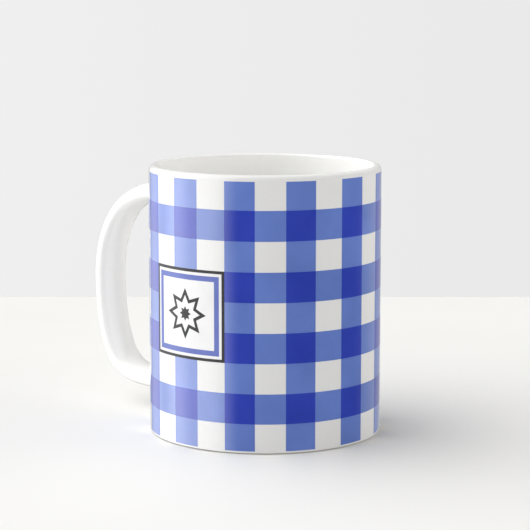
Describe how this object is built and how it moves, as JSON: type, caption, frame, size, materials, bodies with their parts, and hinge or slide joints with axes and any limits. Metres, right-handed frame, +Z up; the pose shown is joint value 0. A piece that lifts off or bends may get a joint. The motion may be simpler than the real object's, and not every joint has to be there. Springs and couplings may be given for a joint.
{
  "type": "mug",
  "caption": "Straight-sided glazed ceramic mug with a strap handle, a printed gingham wrap and a square framed label with a folk star.",
  "frame": {"origin": "middle of the footprint of cup and handle together, on the surface the mug stands on", "axes": "+Z up along the cup's axis, -X along the handle, -Y out of the square label"},
  "size_m": [0.1236, 0.0825, 0.095],
  "materials": {
    "white_glaze": "glossy white glaze over stoneware, bare clay on the foot ring",
    "medium_blue_ink": "glossy transfer print, medium blue",
    "deep_blue_ink": "glossy transfer print, deep blue where a band crosses a stripe",
    "label_white_ink": "glossy white print ground",
    "charcoal_ink": "glossy transfer print, charcoal"
  },
  "bodies": {
    "root": {"cup_body": "white_glaze", "handle": "white_glaze", "upper_slip_joint": "white_glaze", "lower_slip_joint": "white_glaze", "print_stripe_01": "medium_blue_ink", "print_stripe_02": "medium_blue_ink", "print_stripe_03_upper": "medium_blue_ink", "print_stripe_03_lower": "medium_blue_ink", "print_stripe_04": "medium_blue_ink", "print_stripe_05": "medium_blue_ink", "print_stripe_06": "medium_blue_ink", "print_stripe_07": "medium_blue_ink", "print_stripe_08": "medium_blue_ink", "print_stripe_09": "medium_blue_ink", "print_stripe_10": "medium_blue_ink", "print_stripe_11": "medium_blue_ink", "print_band_1": "deep_blue_ink", "print_band_2_beside_handle": "deep_blue_ink", "print_band_2_round_cup": "deep_blue_ink", "print_band_3_beside_handle": "deep_blue_ink", "print_band_3_round_cup": "deep_blue_ink", "print_band_4": "deep_blue_ink", "label_ground": "label_white_ink", "label_border": "charcoal_ink", "label_frame": "medium_blue_ink", "label_star": "charcoal_ink", "label_star_centre": "charcoal_ink"}
  },
  "joints": []
}
